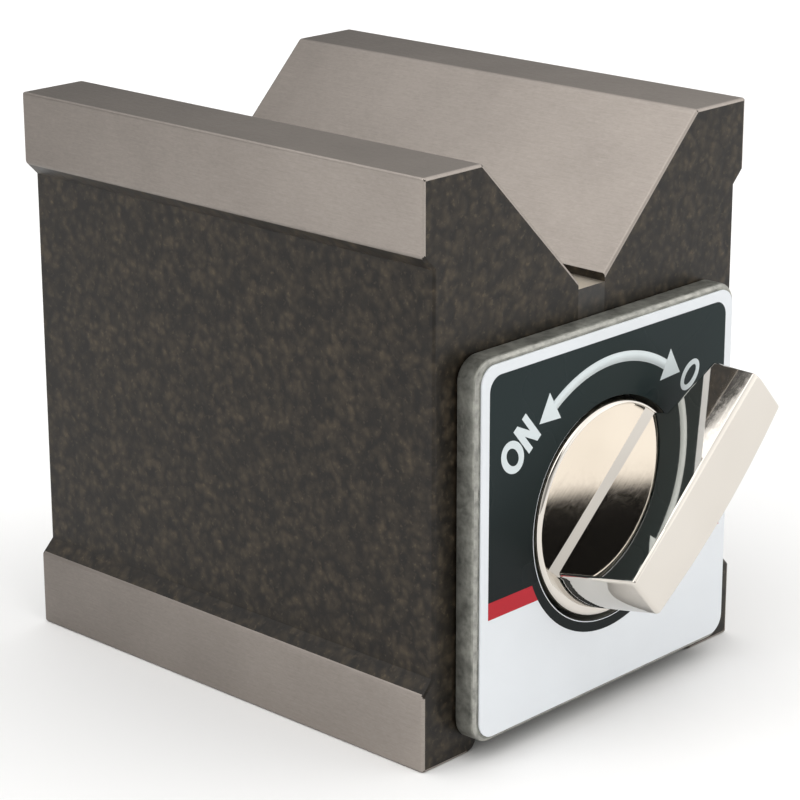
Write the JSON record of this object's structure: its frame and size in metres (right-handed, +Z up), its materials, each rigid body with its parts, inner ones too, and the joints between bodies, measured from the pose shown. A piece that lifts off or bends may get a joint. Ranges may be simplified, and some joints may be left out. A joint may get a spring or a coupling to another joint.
{
  "type": "magnetic v-block",
  "caption": "Switchable magnetic V-block: ground steel block with a 90 degree V groove, ground rails and feet, and a chrome lever knob on its front cover that turns the magnet rotor on and off.",
  "frame": {"origin": "on the plane of the feet, under the middle of the whole object's bounding box", "axes": "+Z up, the V groove along Y, the knob and its cover plate facing -Y, +X to the right as seen from the knob's side"},
  "size_m": [0.06, 0.0852, 0.073],
  "materials": {
    "block_paint": "hammertone enamel",
    "ground_steel": "surface ground",
    "spacer_brass": "machined",
    "bearing_bronze": "machined",
    "cover_zinc": "as cast",
    "label_print": "satin print",
    "knob_chrome": "polished plating",
    "seal_rubber": "matte",
    "rotor_iron": "machined",
    "magnet_block": "dull sintered"
  },
  "bodies": {
    "block": {"left_pole": "block_paint", "right_pole": "block_paint", "top_spacer": "spacer_brass", "bottom_spacer": "spacer_brass", "top_dowels": "ground_steel", "bottom_dowels": "ground_steel", "cover_plate": "cover_zinc", "cover_label": "label_print", "cover_screws": "ground_steel", "knob_seal": "seal_rubber", "bearing_plate": "ground_steel", "front_bush": "bearing_bronze", "stop_pin": "ground_steel", "thrust_washer": "bearing_bronze", "rear_cover": "block_paint", "rear_bush": "bearing_bronze", "disc_spring": "ground_steel"},
    "rotor": {"knob": "knob_chrome", "front_end_cap": "spacer_brass", "rear_end_cap": "spacer_brass", "upper_rotor_pole": "rotor_iron", "lower_rotor_pole": "rotor_iron", "rotor_magnets": "magnet_block", "rotor_keepers": "spacer_brass", "rotor_tie_rods": "ground_steel"}
  },
  "joints": [
    {"name": "lever_turn", "type": "hinge", "parent": "block", "child": "rotor", "pos_m": [0, -0.02735, 0.0267], "axis": [0, -1, 0], "range_deg": [0, 90]}
  ]
}
